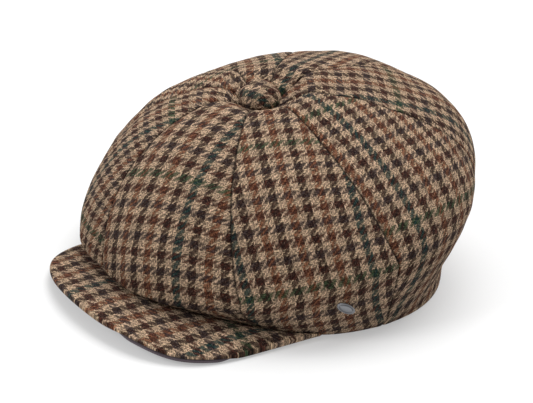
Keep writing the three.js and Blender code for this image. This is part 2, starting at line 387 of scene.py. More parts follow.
def mesh_object(
    name: str,
    points: np.ndarray,
    faces: np.ndarray,
    materials: list[bpy.types.Material],
    slots: Union[np.ndarray, None] = None,
    cloth: Union[np.ndarray, None] = None,
) -> bpy.types.Object:
    """Makes a smooth-shaded mesh from arrays.

    Args:
        name: Name of the object and its mesh.
        points: Points in metres, one row each.
        faces: Four point numbers for each face.
        materials: Materials in slot order.
        slots: Material slot of each face, or none for the first one all over.
        cloth: Place on the flat cloth of each point, or none.

    Returns:
        The object, linked to the scene.
    """
    mesh = bpy.data.meshes.new(name)
    mesh.vertices.add(len(points))
    mesh.vertices.foreach_set("co", np.ascontiguousarray(points, np.float32).ravel())
    mesh.loops.add(faces.size)
    mesh.loops.foreach_set("vertex_index", np.ascontiguousarray(faces, np.int32).ravel())
    mesh.polygons.add(len(faces))
    mesh.polygons.foreach_set("loop_start", np.arange(0, faces.size, faces.shape[1], dtype=np.int32))
    mesh.polygons.foreach_set("use_smooth", np.ones(len(faces), bool))
    if slots is not None:
        mesh.polygons.foreach_set("material_index", np.ascontiguousarray(slots, np.int32))
    if cloth is not None:
        layer = mesh.attributes.new("cloth", "FLOAT_VECTOR", "POINT")
        layer.data.foreach_set("vector", np.ascontiguousarray(cloth, np.float32).ravel())
    for material in materials:
        mesh.materials.append(material)
    mesh.update(calc_edges=True)
    mesh.validate()
    thing = bpy.data.objects.new(name, mesh)
    bpy.context.scene.collection.objects.link(thing)
    return thing


# ---- shaders ----

def operator(operation: str, reflected: bool = False) -> Callable[["Signal", "Number"], "Signal"]:
    """Makes a Python operator of signals that adds a Math node.

    Args:
        operation: The Math node's operation.
        reflected: Whether the other operand comes first, as in 1 - signal.

    Returns:
        The operator, as a method of Signal.
    """
    def apply(signal: "Signal", other: "Number") -> "Signal":
        """Adds the node and returns its result."""
        operands = (other, signal) if reflected else (signal, other)
        return signal.shader.math(operation, *operands)

    return apply


class Signal:
    """A number carried by a node's socket; Python's operators on it add Math nodes."""

    def __init__(self, shader: "Shader", socket: bpy.types.NodeSocket) -> None:
        """Wraps an output socket of a shader's node."""
        self.shader = shader
        self.socket = socket

    def math(self, operation: str, *operands: "Number") -> "Signal":
        """Adds a Math node with this signal as its first operand and returns its result."""
        return self.shader.math(operation, self, *operands)

    __add__ = operator("ADD")
    __radd__ = operator("ADD", reflected=True)
    __sub__ = operator("SUBTRACT")
    __rsub__ = operator("SUBTRACT", reflected=True)
    __mul__ = operator("MULTIPLY")
    __rmul__ = operator("MULTIPLY", reflected=True)
    __truediv__ = operator("DIVIDE")
    __mod__ = operator("FLOORED_MODULO")
    __pow__ = operator("POWER")
    __lt__ = operator("LESS_THAN")

    def at_least(self, least: "Number") -> "Signal":
        """This signal, or the least where it is below that."""
        return self.math("MAXIMUM", least)

    def at_most(self, most: "Number") -> "Signal":
        """This signal, or the most where it is above that."""
        return self.math("MINIMUM", most)

    def floor(self) -> "Signal":
        """Whole number below."""
        return self.math("FLOOR")

    def fraction(self) -> "Signal":
        """Part above the whole number below."""
        return self.math("FRACT")

    def hump(self) -> "Signal":
        """Half a sine wave over 0 to 1: sin(pi x)."""
        return (self * float(np.pi)).math("SINE")

    def bell(self, width: float) -> "Signal":
        """Bell curve exp(-(x / width)^2)."""
        return (self * self * (-1 / width**2)).math("EXPONENT")


Number = Union[Signal, float]
Input = Union[Signal, bpy.types.NodeSocket, float, tuple]
Stops = list[tuple[float, Colour]]


@dataclass(frozen=True)
class Noise:
    """Settings of smooth noise: its scale, and how many and how strong its finer layers are."""

    scale: float
    detail: float = 2.0
    rough: float = 0.5


def linear(red: float, green: float, blue: float) -> Colour:
    """A screen colour from 0 to 255 as the linear colour that shaders take.

    Args:
        red: Red.
        green: Green.
        blue: Blue.

    Returns:
        Red, green, blue and an alpha of 1.
    """
    screen = np.array([red, green, blue]) / 255
    light = np.where(screen <= 0.04045, screen / 12.92, ((screen + 0.055) / 1.055) ** 2.4)
    return (*light.tolist(), 1.0)


class Shader:
    """A material under construction."""

    def __init__(self, name: str) -> None:
        """Makes an empty node material.

        Args:
            name: The material's name.
        """
        self.material = bpy.data.materials.new(name)
        self.material.use_nodes = True
        self.tree = self.material.node_tree
        self.tree.nodes.clear()

    def node(
        self, kind: str, settings: dict[str, object], inputs: dict[Union[str, int], Input],
    ) -> bpy.types.Node:
        """Adds a node: its settings first, then the values or links of its sockets.

        Args:
            kind: The node's type.
            settings: Properties by name; "stops" holds a ramp's (position, colour) pairs.
            inputs: Values or links by the socket's name or number.

        Returns:
            The node.
        """
        made = self.tree.nodes.new(kind)
        for name, value in settings.items():
            if name == "stops":
                self.fill_ramp(made.color_ramp, value)
            else:
                setattr(made, name, value)
        for name, value in inputs.items():
            source = value.socket if isinstance(value, Signal) else value
            if isinstance(source, bpy.types.NodeSocket):
                self.tree.links.new(source, made.inputs[name])
            else:
                made.inputs[name].default_value = source
        return made

    @staticmethod
    def fill_ramp(ramp: bpy.types.ColorRamp, stops: Stops) -> None:
        """Gives a ramp its stops, each colour held up to the next stop.

        Args:
            ramp: The ramp.
            stops: Positions with their colours, in rising order from 0.
        """
        ramp.interpolation = "CONSTANT"
        ramp.elements.remove(ramp.elements[1])
        ramp.elements[0].position, ramp.elements[0].color = stops[0]
        for position, colour in stops[1:]:
            ramp.elements.new(position).color = colour

    def math(self, operation: str, *operands: Number) -> Signal:
        """Adds a Math node with the operands in order and returns its result."""
        made = self.node("ShaderNodeMath", {"operation": operation}, dict(enumerate(operands)))
        return Signal(self, made.outputs[0])

    def vector(self, x: Number, y: Number, z: Number) -> bpy.types.NodeSocket:
        """A vector from three numbers."""
        return self.node("ShaderNodeCombineXYZ", {}, {0: x, 1: y, 2: z}).outputs[0]

    def split(self, vector: bpy.types.NodeSocket) -> tuple[Signal, ...]:
        """The three numbers of a vector."""
        made = self.node("ShaderNodeSeparateXYZ", {}, {0: vector})
        return tuple(Signal(self, socket) for socket in made.outputs)

    def noise(self, place: Input, noise: Noise) -> tuple[Signal, bpy.types.NodeSocket]:
        """Smooth noise.

        Args:
            place: Where the noise is read.
            noise: Its settings.

        Returns:
            The noise from 0 to 1, and three such noises as a vector.
        """
        made = self.node("ShaderNodeTexNoise", {}, {
            "Vector": place, "Scale": noise.scale, "Detail": noise.detail, "Roughness": noise.rough,
        })
        return Signal(self, made.outputs[0]), made.outputs[1]

    def chance(self, place: Input) -> Signal:
        """A random number from 0 to 1 for each whole place."""
        return Signal(self, self.node("ShaderNodeTexWhiteNoise", {}, {"Vector": place}).outputs[0])

    def ramp(self, factor: Signal, stops: Stops) -> bpy.types.NodeSocket:
        """Colour of a ramp of held stops."""
        return self.node("ShaderNodeValToRGB", {"stops": stops}, {0: factor}).outputs[0]

    def mix(self, factor: Number, a: Input, b: Input) -> bpy.types.NodeSocket:
        """Mixes colour b into colour a by the factor's share."""
        return self.node("ShaderNodeMix", {"data_type": "RGBA"}, {0: factor, 6: a, 7: b}).outputs[2]

    def scaled(self, colour: Input, strength: Signal) -> bpy.types.NodeSocket:
        """A colour made lighter or darker by a number."""
        inputs = {0: colour[:3] if isinstance(colour, tuple) else colour, "Scale": strength}
        return self.node("ShaderNodeVectorMath", {"operation": "SCALE"}, inputs).outputs[0]

    def bump(self, height: Signal, distance: float) -> bpy.types.NodeSocket:
        """Normal bent by a height from 0 to 1 that stands for a distance in metres."""
        return self.node("ShaderNodeBump", {}, {"Distance": distance, "Height": height}).outputs[0]

    def place(self) -> bpy.types.NodeSocket:
        """The point's place in the object's own frame, in metres."""
        return self.node("ShaderNodeTexCoord", {}, {}).outputs["Object"]

    def finish(self, inputs: dict[str, Input]) -> bpy.types.Material:
        """Ends the material in a Principled shader.

        Args:
            inputs: Values and links of that shader's sockets.

        Returns:
            The material.
        """
        shader = self.node("ShaderNodeBsdfPrincipled", {}, inputs)
        self.node("ShaderNodeOutputMaterial", {}, {"Surface": shader.outputs[0]})
        return self.material


# ---- finishes ----

class Yarn(Enum):
    """Colours of the tweed's yarns."""

    BEIGE = linear(220, 187, 157)
    STONE = linear(212, 182, 149)
    CHARCOAL = linear(54, 29, 23)
    RUST = linear(134, 82, 56)
    TEAL = linear(22, 60, 58)
    SLATE = linear(66, 52, 52)
    CHESTNUT = linear(80, 40, 29)
    OLIVE = linear(62, 81, 54)


@dataclass(frozen=True)
class Tone:
    """A signal made steeper, moved down and held at or above a least value."""

    gain: float
    drop: float
    least: float

    def of(self, signal: Signal) -> Signal:
        """gain x - drop, but never under the least value."""
        return (self.gain * signal - self.drop).at_least(self.least)


@dataclass(frozen=True)
class Weave:
    """What lies on top at each point of a cloth.

    End and pick are the numbers of the warp and weft threads. Over, under and light are 1
    where the warp, the weft or a light thread is on top. The height runs from 0 to 1.
    """

    end: Signal
    pick: Signal
    over: Signal
    under: Signal
    light: Signal
    height: Signal


@dataclass(frozen=True)
class Tweed:
    """Shepherd's check in a two-and-two twill, four threads dark and four light both ways.

    The "cloth" attribute gives the place on the flat cloth in checks, across and up, and the
    distance to the nearest seam in millimetres. Lengths here are in threads, but for the
    seam's width in millimetres and the relief in metres.
    """

    threads: int = 8  # in a check, light and dark together
    twill: int = 4  # threads in the twill's repeat
    warp: tuple[Yarn, ...] = (Yarn.TEAL, Yarn.CHARCOAL) + (Yarn.RUST, Yarn.CHARCOAL) * 3
    weft: tuple[Yarn, ...] = (Yarn.OLIVE, Yarn.CHESTNUT) + (Yarn.SLATE, Yarn.CHESTNUT) * 4
    start: float = 0.25  # place of the first thread, in checks
    stray: Noise = Noise(9.0, 4.0, 0.75)
    wobble: float = 2.2  # how far fibres stray from their thread
    drift: Noise = Noise(1.3, 1.0)
    wander: float = 2.0  # how far threads drift over several checks
    lean: float = 0.3  # of the floats, along the twill line
    smooth: float = 0.6  # how far the twill's steps are drawn out into slopes
    cover: float = 2.0  # length of the warp's floats
    crowding: float = 0.7  # how much longer they are where dark warp crosses light weft
    shoulder: float = 0.4  # power that makes a float's ends blunt
    buried: Triple = (0.05, 0.1, 0.2)  # covered yarn that shows: always, by chance, if light
    slub: Noise = Noise(6.5, 3.0, 0.75)
    fibre: Noise = Noise(1.0, 2.0, 0.7)
    fleck: Noise = Noise(12.0, 2.0, 0.7)
    grain: Triple = (0.5, 1.3, 0.3)  # fibres to a thread along it and across it, and slant
    slub_tone: Tone = Tone(3.7, 0.9, 0.1)
    fibre_tone: Tone = Tone(3.4, 0.8, 0.08)
    chance_tone: Pair = (1.2, 0.45)  # lightness of the lightest float, and its spread
    hollow: float = 0.16  # painted shade between the threads: their lightness where they dip
    round: float = 1.1  # painted light: what the threads' height adds to it
    brightest: float = 1.1
    hair: Triple = (0.55, 7.0, 0.3)  # noise at which a loose hair shows, sharpness, strength
    seam_shade: float = 0.75
    seam_width: float = 0.7
    fuzz: float = 0.6  # share of the fibres in the surface's height
    relief: float = 0.0005

    def weave(self, s: Signal, t: Signal) -> Weave:
        """Works out the twill: the warp is on top for two threads in four, one further each row.

        A float's height is the hump across its thread times the hump along it.

        Args:
            s: Place across the cloth in threads.
            t: Place up the cloth in threads.

        Returns:
            The weave.
        """
        half = self.twill / 2
        middle = half / 2
        along = (t - s + middle) % self.twill
        upright = along < half
        lean_s = s - upright * (along - middle) * self.lean
        lean_t = t + (1 - upright) * (along - half - middle) * self.lean
        end, end_share = lean_s.floor(), lean_s.fraction()
        pick, pick_share = lean_t.floor(), lean_t.fraction()
        warp_light = 1 - ((end / self.threads).fraction() < 0.5)
        weft_light = 1 - ((pick / self.threads).fraction() < 0.5)
        cover = self.cover + self.crowding * (1 - warp_light) * weft_light
        steps = pick + pick_share * self.smooth - (end + end_share * self.smooth)
        cycle = (steps + middle) % self.twill
        over = cycle < cover
        under = 1 - over
        span = over * (cycle / cover) + under * ((cycle - cover) / (self.twill - cover))
        thread = over * end_share + under * pick_share
        light = over * warp_light + under * weft_light
        return Weave(end, pick, over, under, light, thread.hump() * span.hump() ** self.shoulder)

    def stripes(
        self, shader: Shader, thread: Signal, dark: tuple[Yarn, ...], light: Yarn,
    ) -> bpy.types.NodeSocket:
        """Colours of the threads: the dark stripes in turn, with a light one after each.

        Args:
            shader: The material under construction.
            thread: Number of the thread.
            dark: The dark stripes in order.
            light: The light yarn between them.

        Returns:
            The colour.
        """
        stops = []
        for number, yarn in enumerate(dark):
            stops.append((number / len(dark), yarn.value))
            stops.append(((number + 0.5) / len(dark), light.value))
        return shader.ramp(((thread + 0.5) / (self.threads * len(dark))).fraction(), stops)

    def material(self, name: str) -> bpy.types.Material:
        """Builds the cloth.

        Args:
            name: The material's name.

        Returns:
            The material.
        """
        shader = Shader(name)
        cloth = shader.node("ShaderNodeAttribute", {"attribute_name": "cloth"}, {})
        x, y, seam = shader.split(cloth.outputs["Vector"])
        flat = shader.vector(x, y, 0.0)
        across = (x + self.start) * self.threads
        up = (y + self.start) * self.threads
        stray_s, stray_t, _ = shader.split(shader.noise(flat, self.stray)[1])
        drift = (shader.noise(flat, self.drift)[0] - 0.5) * self.wander
        weave = self.weave(
            across + (stray_s - 0.5) * self.wobble + drift,
            up + (stray_t - 0.5) * self.wobble - drift,
        )
        end, pick, over, under = weave.end, weave.pick, weave.over, weave.under

        turn = ((end - pick) / self.twill).floor()
        warp_chance = shader.chance(shader.vector(end, turn, WARP_DRAW))
        weft_chance = shader.chance(shader.vector(pick, turn, WEFT_DRAW))
        own = over * warp_chance + under * weft_chance
        always, by_chance, if_light = self.buried
        buried = always + own * (by_chance + if_light * weave.light)
        warp = self.stripes(shader, end, self.warp, Yarn.BEIGE)
        weft = self.stripes(shader, pick, self.weft, Yarn.STONE)
        yarn = shader.mix(over * (1 - buried) + under * buried, weft, warp)

        length, width, slant = self.grain
        grain_s = across * (length * under + width * over)
        grain_t = up * (length * over + width * under)
        grain = shader.vector(grain_s + grain_t * slant, grain_t, over * WARP_APART)
        fibre, _ = shader.noise(grain, self.fibre)
        lightest, darker = self.chance_tone
        shade = (lightest - darker * own) * self.slub_tone.of(shader.noise(flat, self.slub)[0])
        # Painted shade: lightness follows each thread's height, darker in the gaps between threads and
        # at the ends of the floats
        shade = shade * self.fibre_tone.of(fibre) * (self.hollow + self.round * weave.height)
        shade = shade.at_most(self.brightest) * (1 - self.seam_shade * seam.bell(self.seam_width))
        threshold, sharpness, strength = self.hair
        hairs = ((shader.noise(flat, self.fleck)[0] - threshold) * sharpness).at_most(1.0).at_least(0.0)
        colour = shader.mix(hairs * strength, yarn, Yarn.BEIGE.value)
        return shader.finish({
            "Base Color": shader.scaled(colour, shade), "Roughness": 0.95,
            "Specular IOR Level": 0.05, "Sheen Weight": 0.03,
            "Normal": shader.bump(weave.height + self.fuzz * fibre, self.relief),
        })


@dataclass(frozen=True)
class PlainCloth:
    """Plain smooth cloth with fine twill lines, so many to the metre."""

    colour: Colour
    lines: float = 1400.0
    twill: Pair = (0.7, 0.3)  # lightness between the lines, and what they add
    blotch: Noise = Noise(60.0, 4.0, 0.6)
    grain: Noise = Noise(2500.0, 2.0, 0.6)
    mottle: Triple = (0.6, 0.5, 0.4)  # lightness without blotches and grain, and of each
    relief: float = 0.00012

    def material(self, name: str) -> bpy.types.Material:
        """Builds the cloth.

        Args:
            name: The material's name.

        Returns:
            The material.
        """
        shader = Shader(name)
        place = shader.place()
        x, y, z = shader.split(place)
        twill = ((x + y + z) * self.lines).fraction().hump()
        grain, _ = shader.noise(place, self.grain)
        base, blotched, grained = self.mottle
        mottle = base + blotched * shader.noise(place, self.blotch)[0] + grained * grain
        return shader.finish({
            "Base Color": shader.scaled(self.colour, (self.twill[0] + self.twill[1] * twill) * mottle),
            "Roughness": 0.8, "Specular IOR Level": 0.25, "Sheen Weight": 0.2,
            "Normal": shader.bump(twill + grain, self.relief),
        })


@dataclass(frozen=True)
class Silver:
    """Polished silver-coloured metal, faintly scuffed."""

    colour: Colour = linear(128, 129, 132)
    scuff: Noise = Noise(900.0, 4.0, 0.7)
    roughness: Pair = (0.2, 0.3)  # without scuffs, and what they add
    relief: float = 0.00003

    def material(self, name: str) -> bpy.types.Material:
        """Builds the metal.

        Args:
            name: The material's name.

        Returns:
            The material.
        """
        shader = Shader(name)
        scuff, _ = shader.noise(shader.place(), self.scuff)
        return shader.finish({
            "Base Color": self.colour, "Metallic": 1.0,
            "Roughness": self.roughness[0] + self.roughness[1] * scuff,
            "Normal": shader.bump(scuff, self.relief),
        })


@dataclass(frozen=True)
class Wardrobe:
    """The finished materials, shared by the pieces."""

    tweed: bpy.types.Material
    backing: bpy.types.Material
    lining: bpy.types.Material
    silver: bpy.types.Material

    @classmethod
    def stocked(cls) -> "Wardrobe":
        """Builds every material once."""
        return cls(
            tweed=Tweed().material("tweed"),
            backing=PlainCloth(linear(66, 54, 48)).material("backing"),
            lining=PlainCloth(linear(78, 68, 74)).material("peak_lining"),
            silver=Silver().material("silver"),
        )


@dataclass
class Part:
    """A part of the cap: it knows the crown's form, the cap's placement and the materials."""

    form: CrownForm
    placement: Placement
    wardrobe: Wardrobe

    def add(
        self,
        name: str,
        node: str,
        slot: str,
        points: np.ndarray,
        faces: np.ndarray,
        materials: list[bpy.types.Material],
        slots: Union[np.ndarray, None] = None,
        cloth: Union[np.ndarray, None] = None,
    ) -> None:
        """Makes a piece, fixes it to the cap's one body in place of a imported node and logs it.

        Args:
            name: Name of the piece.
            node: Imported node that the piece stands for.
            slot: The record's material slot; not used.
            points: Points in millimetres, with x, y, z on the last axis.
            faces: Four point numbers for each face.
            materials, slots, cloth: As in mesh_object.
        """
        metres = self.placement.metres(points.reshape(-1, 3))
        flat = None if cloth is None else cloth.reshape(-1, 3)
        piece = mesh_object(name, metres, faces, materials, slots, flat)
        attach(piece, "root")
        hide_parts(node)
        log.info("built %s with %d faces", name, len(faces))


# ---- the crown ----

@dataclass(frozen=True)
class Cut:
    """How a piece was cut from the tweed and how its grain was pulled in sewing.

    Teal and olive place those stripes, in millimetres across and above the datum; across and
    up are a check's width and height. For each millimetre the columns lean to the right and
    the rows fall by the tilt. The rows sag by the bow at its reach to the side.
    """

    teal: float
    across: float
    lean: float
    olive: float
    up: float
    tilt: float
    bow: float = 0.0
    datum: float = 90.0
    reach: float = 50.0

    def checks(
        self, u: np.ndarray, v: np.ndarray, seam: np.ndarray, low: Union[np.ndarray, float] = -np.inf,
    ) -> np.ndarray:
        """Place on the flat cloth in checks.

        With w = v - datum, across it is (u - lean w - teal) / across and up it is
        (w + tilt u + bow (u / reach)^2 - olive) / up; the lean stops below the lowest v.

        Args:
            u: Millimetres across the piece.
            v: Millimetres up the piece.
            seam: Millimetres from the nearest seam.
            low: Where the columns stop leaning and run straight down.

        Returns:
            Checks across, checks up and the seam's distance, on the last axis.
        """
        w = v - self.datum
        x = (u - self.lean * np.maximum(w, low - self.datum) - self.teal) / self.across
        y = (w + self.tilt * u + self.bow * (u / self.reach) ** 2 - self.olive) / self.up
        return np.stack([x, y, seam], axis=-1)


@dataclass(frozen=True)
class Relief:
    """How the cloth stands off the smooth crown, in millimetres.

    Pairs say where a smooth step starts and ends, as distances from the apex in plan, but
    for waking, which is in levels.
    """

    valley: float = 0.5
    deeper: float = 0.5  # the valley's extra depth near the button
    valley_width: float = 0.55
    sewn: Pair = (2, 12)
    ridge: float = 0.14
    ridge_place: float = 3.5
    ridge_width: float = 2.6
    stitch: float = 0.35  # how much the ridge's height varies
    stitch_scale: float = 2.2
    pucker: float = 0.45  # height of the gathers by the button
    waves: float = 0.6
    rounding: float = 1.2
    gather_in: Pair = (12, 18)
    gather_out: Pair = (20, 46)
    well: float = 2.4
    well_side: Pair = (11, 20)
    lip: float = 1.4  # round the button, on the side that stands up
    lip_place: float = 20.0
    lip_width: float = 4.5
    slump: float = 2.6  # hollow on the side that sinks
    slump_place: float = 18.0
    slump_width: float = 9.0
    waking: Pair = (-0.1, 0.6)  # where unevenness sets in above the hem
    clear: Pair = (10, 24)  # and round the button
    slow: Waves = Waves(11, 45, 110)
    slow_height: float = 0.45
    quick: Waves = Waves(12, 14, 30)
    quick_height: float = 0.16

    def height(
        self, form: CrownForm, u: np.ndarray, level: np.ndarray, points: np.ndarray, seam: np.ndarray,
    ) -> np.ndarray:
        """Height of the cloth over the smooth crown.

        It is the gore's swelling, gathers, a lip and a well round the button, lower on the
        side that slumps, a valley at the seam with a soft ridge beside it, and unevenness.

        Args:
            form: The crown.
            u: Places across the gore from -1 to 1.
            level: Levels from -1 to 2.
            points: The smooth points.
            seam: Distance to the nearest seam in millimetres.

        Returns:
            Heights in millimetres.
        """
        radius = form.plan_radius(points)
        on_top = level > 1
        swell = form.swelling(u, level) * smoothstep(radius, form.floor, form.rim)

        ring = smoothstep(radius, *self.gather_in) * (1 - smoothstep(radius, *self.gather_out))
        near = np.where(on_top, ring, 0)
        gathers = np.cos(3 * np.pi * u) * self.waves + self.rounding * (1 - u * u)

        away = points - np.array(form.apex)
        turn = np.arctan2(away[..., 0], -away[..., 1]) - np.radians(form.slump_angle)
        facing = 0.5 + 0.5 * np.cos(turn)
        top = self.lip * bell(radius - self.lip_place, self.lip_width) * (1 - facing)
        top = top - self.well * (1 - smoothstep(radius, *self.well_side))
        top = top - self.slump * bell(radius - self.slump_place, self.slump_width) * facing

        stitches = 1 + self.stitch * self.quick.at(points * self.stitch_scale)
        ridge = self.ridge * stitches * bell(seam - self.ridge_place, self.ridge_width)
        valley = (self.valley + self.deeper * near) * bell(seam, self.valley_width * (1 + near))

        free = smoothstep(level, *self.waking) * np.where(on_top, smoothstep(radius, *self.clear), 1)
        uneven = self.slow.at(points) * self.slow_height + self.quick.at(points) * self.quick_height
        height = swell + self.pucker * near * gathers + np.where(on_top, top, 0)
        return height + smoothstep(radius, *self.sewn) * (ridge - valley) + free * uneven


@dataclass
class Crown(Part):
    """Eight gores of tweed, sewn together from the hem to the eye under the button."""

    cuts: tuple[Cut, ...] = (
        Cut(teal=17.3, across=10.7, lean=0.02, olive=22.4, up=9.85, tilt=0.0, bow=2.7),
        Cut(teal=-40.9, across=9.6, lean=0.03, olive=53.6, up=9.55, tilt=0.105, bow=-0.8),
        Cut(teal=-27.8, across=10.6, lean=0.335, olive=-14.0, up=9.8, tilt=0.336, bow=-2.0),
        Cut(teal=-33.8, across=9.4, lean=0.12, olive=72.5, up=9.3, tilt=0.17),
        Cut(teal=12.0, across=9.5, lean=-0.1, olive=60.0, up=9.5, tilt=-0.05),
        Cut(teal=-20.0, across=9.5, lean=0.05, olive=10.0, up=9.5, tilt=0.05),
        Cut(teal=-35.0, across=9.5, lean=0.2, olive=90.0, up=9.5, tilt=0.1),
        Cut(teal=-1.0, across=9.5, lean=0.32, olive=65.0, up=9.5, tilt=0.05),
    )
    relief: Relief = Relief()
    columns: int = 72
    band_rows: int = 22
    undercut_rows: int = 44
    dome_rows: int = 88
    hem_crowding: float = 1.8  # powers that draw rows and columns together
    eye_crowding: float = 1.25
    seam_crowding: float = 1.5
    turn_rows: int = 16  # rows above the equator at which the flat cloth turns down
    gap: float = 0.12
    fold_gap: float = 0.1  # left between the two rounded corners of the hem's fold
    thin_from: float = 1.9  # level above which the cloth is pressed thin
    thin: float = 1.2

    def levels(self) -> np.ndarray:
        """Spaces the rows close together at the hem's fold and towards the eye.

        Returns:
            The level of each row.
        """
        band = -1 + np.linspace(0, 1, self.band_rows, endpoint=False) ** self.hem_crowding
        undercut = np.linspace(0, 1, self.undercut_rows, endpoint=False)
        dome = 2 - (1 - np.linspace(0, 1, self.dome_rows)) ** self.eye_crowding
        return np.concatenate([band, undercut, dome])

    def shares(self) -> np.ndarray:
        """Places across a gore from -1 to 1, closer together at the seams."""
        t = np.linspace(-1, 1, self.columns + 1)
        return np.sign(t) * (1 - (1 - np.abs(t)) ** self.seam_crowding)

    @staticmethod
    def flattened(points: np.ndarray, normal: np.ndarray, turn: int) -> tuple[np.ndarray, np.ndarray]:
        """Lays a gore's points flat beside its middle line.

        Over the turn each row is rolled out from the middle line: the cloth's up direction
        is carried along the row, kept in the surface, and each step adds its parts along and
        across that direction. Below it u keeps its share of the row and v falls by the length
        of the column.

        Args:
            points: The gore's smooth points, rows first.
            normal: Outward directions at those points.
            turn: The row at which the rolling out ends.

        Returns:
            u and v in millimetres from the middle of the hem.
        """
        rows, columns = points.shape[:2]
        middle = columns // 2
        length = travelled(points, 0)
        first = unit(np.gradient(points[:, middle], length[:, middle], axis=0))
        u = np.zeros((rows, columns))
        v = np.zeros((rows, columns))
        v[:, middle] = length[:, middle]
        for step, end in ((1, columns), (-1, -1)):
            up = first
            for at in range(middle + step, end, step):
                outward = unit(normal[:, at] + normal[:, at - step])
                up = unit(up - np.sum(up * outward, axis=-1, keepdims=True) * outward)
                move = points[:, at] - points[:, at - step]
                u[:, at] = u[:, at - step] + np.sum(move * np.cross(up, outward), axis=-1)
                v[:, at] = v[:, at - step] + np.sum(move * up, axis=-1)
        run = travelled(points, 1)
        run = run - run[:, middle:middle + 1]
        share = np.divide(u[turn], run[turn], out=np.ones(columns), where=run[turn] != 0)
        below = np.arange(rows)[:, None] < turn
        return np.where(below, run * share, u), np.where(below, v[turn] - length[turn] + length, v)

    def build(self) -> None:
        """Builds every gore."""
        for number in range(1, len(self.form.seams) + 1):
            self.gore(number)

    def gore(self, number: int) -> None:
        """Builds one gore as a closed wall between its outer cloth and its backing.

        At the hem the wall's corners are rounded into a fold by t = f - sqrt(f2 - (f - d)2),
        where f is the fold's radius and d the distance above the hem.

        Args:
            number: The gore, from 1.
        """
        form = self.form
        levels = self.levels()
        middle, half_width = form.span(number)
        u, level = np.meshgrid(self.shares(), levels)
        radius = np.maximum(form.plan_radius(form.smooth(middle, levels)), form.eye)
        angle = middle + u * (half_width - self.gap / (2 * radius))[:, None]
        points = form.smooth(angle, level)
        normal = form.normal(angle, level)
        run = travelled(points, 1)
        seam = np.minimum(run, run[:, -1:] - run)
        outer = points + normal * self.relief.height(form, u, level, points, seam)[..., None]

        fold = form.cloth / 2 - self.fold_gap
        above = np.linalg.norm(points - points[:1], axis=-1)
        tuck = fold - np.sqrt(np.maximum(fold**2 - np.maximum(fold - above, 0) ** 2, 0))
        thick = np.where(level > self.thin_from, self.thin, form.cloth)
        inner = outer - normal * (thick - tuck)[..., None]
        outer = outer - normal * tuck[..., None]
        inner[0, :, 2] = outer[0, :, 2]

        equator = self.band_rows + self.undercut_rows
        flat_u, flat_v = self.flattened(points, normal, equator + self.turn_rows)
        cloth = self.cuts[number - 1].checks(flat_u, flat_v, seam, flat_v[equator])
        rows, columns = u.shape
        quads = (rows - 1) * (columns - 1)
        faces = wall_faces(rows, columns)
        slots = np.zeros(len(faces))
        slots[quads:2 * quads] = 1
        self.add(
            f"gore_cloth_{number}", f"crown_gore_{number}", "tweed", np.stack([outer, inner]),
            faces, [self.wardrobe.tweed, self.wardrobe.backing], slots, np.stack([cloth, cloth]),
        )


# ---- the button ----

@dataclass
class Button(Part):
    """A dome covered in tweed, gathered underneath, on a short stem through the eye."""

    radius: float = 13.5
    height: float = 11.8
    edge: float = 3.0
    turned: tuple[Pair, ...] = ((2.4, 0.15), (0.9, 0.7), (0.2, 1.5))  # in from the edge, and up
    flat: float = 0.6  # radius of the flat underside, in parts of the button's
    pole: float = 0.01
    stem: float = 3.0
    stem_length: float = 5.0
    seat: float = -2.6  # height of the underside over the dimple
    lean: float = 8.0  # towards the side that slumps, in degrees
    gather: float = 0.15
    gathers: int = 17
    drift: float = 2.0  # how unevenly the gathers are spaced
    gather_place: float = 1.4
    gather_width: float = 1.3
    lumps: Waves = Waves(31, 8, 16)
    lump_height: float = 0.3
    lump_from: float = 2.4
    around: int = 96
    dome_rings: int = 26
    squash: float = 0.8  # power that makes the dome broader than an ellipse
    grain: float = 65.7  # how far the cloth is turned, in degrees
    cut: Cut = Cut(teal=10.4, across=9.5, lean=0.0, olive=-19.0, up=9.5, tilt=0.0, datum=0.0)

    def profile(self) -> np.ndarray:
        """Radius and height from the foot of the stem to the crown of the dome.

        The dome is a quarter of a squashed ellipse: r = R cos(a)^squash, z = edge + rise sin a.

        Returns:
            Pairs of radius and height.
        """
        foot = -self.stem_length
        low = [[self.pole, foot], [self.stem, foot], [self.stem, 0.0], [self.radius * self.flat, 0.0]]
        low += [[self.radius - inside, high] for inside, high in self.turned]
        a = np.linspace(0, np.pi / 2, self.dome_rings)
        rise = self.height - self.edge
        dome = np.stack([self.radius * np.cos(a) ** self.squash, self.edge + rise * np.sin(a)], axis=-1)
        dome[-1, 0] = self.pole
        return np.concatenate([low, dome])

    def build(self) -> None:
        """Carries the profile round, with its gathers, lumps and lean, and dresses it."""
        profile = self.profile()
        turn = np.linspace(0, 2 * np.pi, self.around, endpoint=False)
        r, a = np.meshgrid(profile[:, 0], turn, indexing="ij")
        z = np.repeat(profile[:, 1:], self.around, axis=1)
        off_stem = r > self.stem + 1
        band = bell(z - self.gather_place, self.gather_width) * off_stem
        r = r + self.gather * np.sin(self.gathers * a + self.drift * np.sin(a)) * band
        ring = np.stack([r * np.sin(a), -r * np.cos(a), z], axis=-1)
        lumps = self.lump_height * self.lumps.at(ring) * (z > self.lump_from)
        away = np.cos(a - np.radians(self.form.slump_angle))
        sag = np.tan(np.radians(self.lean)) * r * away * off_stem
        base = np.array(self.form.apex) + (self.seat - self.form.dimple) * UP
        points = base + ring + (lumps - sag)[..., None] * UP

        arc = travelled(profile, 0)
        down = (arc[-1] - arc)[:, None]
        turned = a + np.radians(self.grain)
        seam = np.full(a.shape, FAR_FROM_SEAM)
        cloth = self.cut.checks(down * np.sin(turned), down * np.cos(turned), seam)
        self.add(
            "button_cloth", "crown_button", "tweed", points, tube_faces(len(profile), self.around),
            [self.wardrobe.tweed], None, cloth,
        )


# ---- the peak ----

